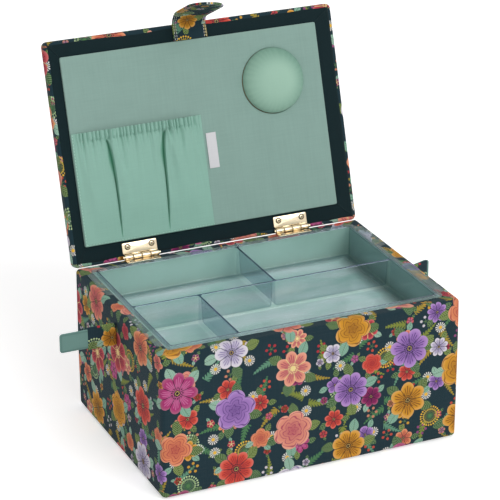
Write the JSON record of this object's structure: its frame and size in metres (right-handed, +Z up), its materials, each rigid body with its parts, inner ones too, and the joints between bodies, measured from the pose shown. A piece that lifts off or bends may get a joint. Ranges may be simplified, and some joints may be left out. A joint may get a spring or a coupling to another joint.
{
  "type": "sewing box",
  "caption": "Cloth-covered sewing box with a hinged padded lid, clear divided tray, lid panel with pincushion and gathered pocket, closure tab and side pulls.",
  "frame": {"origin": "middle of the underside, on the surface the box stands on", "axes": "+Z up, -Y is the front with the closure tab, +X is the right side seen from the front; the lid turns about a line along X at the back"},
  "size_m": [0.3331, 0.2538, 0.3373],
  "materials": {
    "print_cloth": "printed woven cotton",
    "mint_cloth": "plain woven cotton",
    "pocket_cloth": "plain woven cotton",
    "strap_cloth": "stitched tape",
    "dark_cloth": "plain woven cotton",
    "label_cloth": "satin tape",
    "wadding": "soft wadding",
    "board": "grey board",
    "clear_plastic": "clear moulded",
    "brass": "polished plate",
    "steel": "plain"
  },
  "bodies": {
    "base": {"bottom_board": "board", "front_board": "board", "back_board": "board", "left_board": "board", "right_board": "board", "base_cover": "print_cloth", "underside_panel": "dark_cloth", "lining_bottom": "mint_cloth", "lining_front": "mint_cloth", "lining_back": "mint_cloth", "lining_left": "mint_cloth", "lining_right": "mint_cloth", "tray": "clear_plastic", "left_hinge_base_leaf": "brass", "right_hinge_base_leaf": "brass", "left_hinge_pin": "brass", "right_hinge_pin": "brass", "base_leaf_screw_1": "brass", "base_leaf_screw_2": "brass", "base_leaf_screw_3": "brass", "base_leaf_screw_4": "brass", "wall_magnet": "steel", "left_pull_anchor": "strap_cloth", "right_pull_anchor": "strap_cloth"},
    "lid": {"left_hinge_lid_leaf": "brass", "right_hinge_lid_leaf": "brass", "lid_leaf_screw_1": "brass", "lid_leaf_screw_2": "brass", "lid_leaf_screw_3": "brass", "lid_leaf_screw_4": "brass", "lid_board": "board", "lid_wadding": "wadding", "lid_cover": "print_cloth", "lid_border_cloth": "dark_cloth", "lid_panel": "mint_cloth", "pincushion_card": "board", "pincushion": "mint_cloth", "pocket": "pocket_cloth", "pocket_elastic": "wadding", "pocket_label": "label_cloth", "tab_root": "print_cloth"},
    "closure_tab": {"closure_tab_core": "dark_cloth", "closure_tab_face": "print_cloth", "closure_tab_back": "print_cloth", "tab_magnet": "steel"},
    "left_pull": {"left_pull_cuff": "print_cloth", "left_pull_strap": "strap_cloth"},
    "right_pull": {"right_pull_cuff": "print_cloth", "right_pull_strap": "strap_cloth"}
  },
  "joints": [
    {"name": "lid_hinge", "type": "hinge", "parent": "base", "child": "lid", "pos_m": [0, 0.0913, 0.1264], "axis": [1, 0, 0], "range_deg": [0, 107.5]},
    {"name": "tab_fold", "type": "hinge", "parent": "lid", "child": "closure_tab", "pos_m": [-0.002, 0.14917, 0.30512], "axis": [1, 0, 0], "range_deg": [-60, 11]},
    {"name": "left_pull_swing", "type": "hinge", "parent": "base", "child": "left_pull", "pos_m": [-0.1327, 0, 0.1045], "axis": [0, 0, 1], "range_deg": [-75, 75]},
    {"name": "right_pull_swing", "type": "hinge", "parent": "base", "child": "right_pull", "pos_m": [0.1327, 0, 0.1045], "axis": [0, 0, 1], "range_deg": [-90, 30]}
  ]
}
